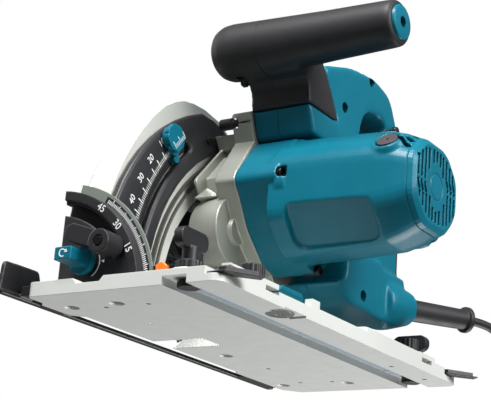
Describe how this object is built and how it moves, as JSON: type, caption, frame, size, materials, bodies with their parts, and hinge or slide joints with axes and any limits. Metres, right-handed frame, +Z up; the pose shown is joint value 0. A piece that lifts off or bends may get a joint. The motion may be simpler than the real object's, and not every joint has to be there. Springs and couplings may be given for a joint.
{
  "type": "plunge cut circular saw",
  "caption": "Corded plunge-cut circular saw with a grooved sole for a guide rail, tilting blade case, sprung plunge arm, side motor, front grip and rear D-handle.",
  "frame": {"origin": "middle of the sole face that slides on the guide rail", "axes": "-Y is the cutting direction, +X is the motor side, +Z is up from the sole"},
  "size_m": [0.3155, 0.5405, 0.2482],
  "materials": {
    "cast_sole": "die-cast aluminium with fine satin powder coat",
    "cast_case": "satin silver lacquered casting",
    "cast_gear": "satin grey-green lacquered casting",
    "teal_plastic": "fine moulded grain, semi-matt",
    "black_plastic": "fine moulded grain, matt",
    "black_rubber": "soft matt overmould",
    "grey_rubber": "grey-brown soft grip",
    "orange_plastic": "moulded orange",
    "glide_film": "pale low-friction strip",
    "steel": "turned and ground steel",
    "dark_steel": "black oxide steel",
    "scale_metal": "grey-green anodised plate",
    "spring_steel": "bright spring steel",
    "copper": "enamelled copper winding",
    "carbon": "carbon",
    "cord_pvc": "black rubber sheath"
  },
  "bodies": {
    "base": {"base_plate": "cast_sole", "side_skirt": "black_plastic", "front_quadrant": "black_plastic", "rear_quadrant": "black_plastic", "angle_scale": "scale_metal", "glide_strips": "glide_film", "corner_leaves": "black_plastic", "sole_screws": "steel", "cord": "cord_pvc", "cord_coil": "cord_pvc", "mains_plug": "black_rubber"},
    "positive_stop": {"stop_knob": "teal_plastic"},
    "front_rail_adjuster": {"front_rail_knob": "black_plastic"},
    "rear_rail_adjuster": {"rear_rail_knob": "black_plastic"},
    "front_rule_clamp": {"front_rule_screw": "black_plastic"},
    "rear_rule_clamp": {"rear_rule_screw": "black_plastic"},
    "anti_tip_lever": {"slide_lever": "teal_plastic"},
    "anti_tip_tongue": {"anti_tip_tongue": "steel"},
    "tilt_frame": {"blade_case": "cast_case", "case_cover": "cast_case", "depth_plate": "black_plastic", "front_yoke": "dark_steel", "rear_yoke": "cast_gear", "bevel_pointer": "orange_plastic", "dust_port": "black_plastic", "frame_bolts": "dark_steel", "return_spring": "spring_steel"},
    "front_bevel_clamp": {"front_clamp_lever": "black_plastic"},
    "rear_bevel_clamp": {"rear_clamp_lever": "black_plastic"},
    "overtravel_release": {"release_lever": "black_plastic"},
    "depth_stop": {"depth_slider": "teal_plastic"},
    "depth_clamp": {"depth_knob": "teal_plastic"},
    "plunge_unit": {"gear_housing": "cast_gear", "bearing_plate": "cast_gear", "bearings": "steel", "motor_housing": "teal_plastic", "vent_cover": "teal_plastic", "stator": "copper", "brush_caps": "grey_rubber", "brushes": "carbon", "housing_screws": "dark_steel", "front_grip_left": "black_rubber", "front_grip_right": "black_rubber", "grip_cap": "teal_plastic", "handle_left": "teal_plastic", "handle_right": "teal_plastic", "rear_grip_rubber": "grey_rubber", "switch_body": "black_plastic", "cord_guard": "black_rubber"},
    "quick_stop": {"quick_stop_button": "black_plastic"},
    "trigger": {"trigger": "black_plastic"},
    "lock_off": {"lock_off_button": "black_plastic"},
    "speed_dial": {"speed_dial": "black_plastic"},
    "arbor": {"spindle": "steel", "drive_gear": "steel", "saw_blade": "steel", "blade_clamp": "dark_steel"},
    "armature": {"pinion_shaft": "steel", "fan": "black_plastic", "armature": "copper"}
  },
  "joints": [
    {"name": "bevel_tilt", "type": "hinge", "parent": "base", "child": "tilt_frame", "pos_m": [-0.0795, 0, 0], "axis": [0, -1, 0], "range_deg": [-1, 48]},
    {"name": "plunge", "type": "hinge", "parent": "tilt_frame", "child": "plunge_unit", "pos_m": [0, 0.0755, 0.032], "axis": [1, 0, 0], "range_deg": [0, 40], "stiffness_Nm_per_rad": 3, "springref_deg": -74.48},
    {"name": "arbor_spin", "type": "hinge", "parent": "plunge_unit", "child": "arbor", "pos_m": [0, -0.0005, 0.09], "axis": [1, 0, 0], "continuous": true},
    {"name": "armature_spin", "type": "hinge", "parent": "plunge_unit", "child": "armature", "pos_m": [0, 0.01972, 0.11349], "axis": [1, 0, 0], "continuous": true},
    {"name": "depth_setting", "type": "hinge", "parent": "tilt_frame", "child": "depth_stop", "pos_m": [0, 0.0755, 0.032], "axis": [1, 0, 0], "range_deg": [-3.5, 36]},
    {"name": "depth_clamp_turn", "type": "hinge", "parent": "depth_stop", "child": "depth_clamp", "pos_m": [0, -0.06023, 0.14793], "axis": [1, 0, 0], "range_deg": [0, 90]},
    {"name": "front_clamp_swing", "type": "hinge", "parent": "tilt_frame", "child": "front_bevel_clamp", "pos_m": [-0.02207, 0, 0.03451], "axis": [0, 1, 0], "range_deg": [0, 60]},
    {"name": "rear_clamp_swing", "type": "hinge", "parent": "tilt_frame", "child": "rear_bevel_clamp", "pos_m": [-0.03064, 0, 0.02936], "axis": [0, 1, 0], "range_deg": [0, 60]},
    {"name": "release_swing", "type": "hinge", "parent": "tilt_frame", "child": "overtravel_release", "pos_m": [0.024, -0.13, 0.018], "axis": [0, 1, 0], "range_deg": [0, 20]},
    {"name": "stop_knob_turn", "type": "hinge", "parent": "base", "child": "positive_stop", "pos_m": [-0.046, -0.15, 0.0265], "axis": [0, -1, 0], "range_deg": [0, 90]},
    {"name": "front_rail_turn", "type": "hinge", "parent": "base", "child": "front_rail_adjuster", "pos_m": [0.043, -0.1555, 0], "axis": [0, 0, 1], "range_deg": [-60, 60]},
    {"name": "rear_rail_turn", "type": "hinge", "parent": "base", "child": "rear_rail_adjuster", "pos_m": [0.043, 0.1555, 0], "axis": [0, 0, 1], "range_deg": [-60, 60]},
    {"name": "front_rule_turn", "type": "hinge", "parent": "base", "child": "front_rule_clamp", "pos_m": [0.062, -0.1105, 0], "axis": [0, 0, 1], "range_deg": [0, 360]},
    {"name": "rear_rule_turn", "type": "hinge", "parent": "base", "child": "rear_rule_clamp", "pos_m": [0.062, 0.1145, 0], "axis": [0, 0, 1], "range_deg": [0, 360]},
    {"name": "anti_tip_slide", "type": "slide", "parent": "base", "child": "anti_tip_lever", "axis": [0, 1, 0], "range_m": [0, 0.006]},
    {"name": "tongue_slide", "type": "slide", "parent": "base", "child": "anti_tip_tongue", "axis": [-1, 0, 0], "range_m": [0, 0.003]},
    {"name": "quick_stop_press", "type": "slide", "parent": "plunge_unit", "child": "quick_stop", "axis": [1, 0, 0], "range_m": [0, 0.005], "stiffness_N_per_m": 300, "springref_m": -0.004},
    {"name": "trigger_pull", "type": "hinge", "parent": "plunge_unit", "child": "trigger", "pos_m": [0.01, 0.1245, 0.187], "axis": [1, 0, 0], "range_deg": [0, 8], "stiffness_Nm_per_rad": 0.8, "springref_deg": -14.32},
    {"name": "lock_off_press", "type": "slide", "parent": "plunge_unit", "child": "lock_off", "axis": [-1, 0, 0], "range_m": [0, 0.004], "stiffness_N_per_m": 300, "springref_m": -0.004},
    {"name": "speed_dial_turn", "type": "hinge", "parent": "plunge_unit", "child": "speed_dial", "pos_m": [0.009, 0.106, 0.226], "axis": [1, 0, 0], "range_deg": [0, 270]}
  ],
  "couplings": [
    {"joint": "armature_spin", "follows": "arbor_spin", "ratio": -2.875},
    {"joint": "tongue_slide", "follows": "anti_tip_slide", "ratio": 0.5}
  ]
}
